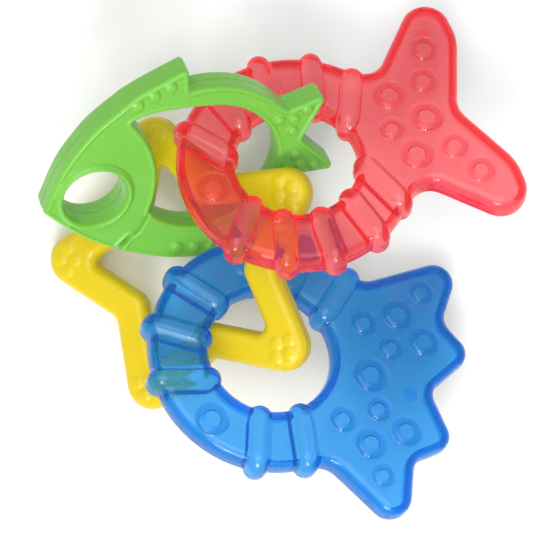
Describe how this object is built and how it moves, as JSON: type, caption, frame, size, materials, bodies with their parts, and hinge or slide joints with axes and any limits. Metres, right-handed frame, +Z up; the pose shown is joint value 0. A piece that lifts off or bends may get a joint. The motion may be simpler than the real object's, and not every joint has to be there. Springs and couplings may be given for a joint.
{
  "type": "teething ring",
  "caption": "Teething ring chain of linked rings: a fish, a star, and water-filled fish tail and scallop shell rings.",
  "frame": {"origin": "bottom centre of the bounding box of the chain as it lies on a surface", "axes": "+Z up from the surface, +X from the fish's head towards the tail ring's fork, +Y from the scallop shell ring towards the fish"},
  "size_m": [0.1621, 0.1724, 0.0679],
  "materials": {
    "green_plastic": "opaque bright green, satin gloss",
    "yellow_plastic": "opaque warm yellow, satin gloss",
    "clear_red_plastic": "soft clear red moulding, glossy",
    "clear_blue_plastic": "soft clear blue moulding, glossy",
    "red_tinted_water": "purified water seen through the red moulding",
    "blue_tinted_water": "purified water seen through the blue moulding"
  },
  "bodies": {
    "star_ring": {"star_front": "yellow_plastic", "star_back": "yellow_plastic"},
    "shell_ring": {"shell_front_shell": "clear_blue_plastic", "shell_back_shell": "clear_blue_plastic", "shell_water": "blue_tinted_water", "shell_fill_plug": "clear_blue_plastic"},
    "fish_ring": {"fish_front": "green_plastic", "fish_back": "green_plastic"},
    "tail_ring": {"tail_front_shell": "clear_red_plastic", "tail_back_shell": "clear_red_plastic", "tail_water": "red_tinted_water", "tail_fill_plug": "clear_red_plastic"}
  },
  "joints": [
    {"name": "shell_swing", "type": "hinge", "parent": "star_ring", "child": "shell_ring", "pos_m": [-0.01646, -0.01648, 0.02626], "axis": [-0.867, -0.4983, 0], "range_deg": [0, 40]},
    {"name": "fish_swing", "type": "hinge", "parent": "star_ring", "child": "fish_ring", "pos_m": [0.00021, 0.02205, 0.02375], "axis": [0.6127, 0.7896, 0.033], "range_deg": [0, 14]},
    {"name": "tail_swing", "type": "hinge", "parent": "fish_ring", "child": "tail_ring", "pos_m": [-0.02406, 0.05324, 0.03314], "axis": [-0.3099, -0.3069, 0.8998], "range_deg": [0, 35]}
  ]
}
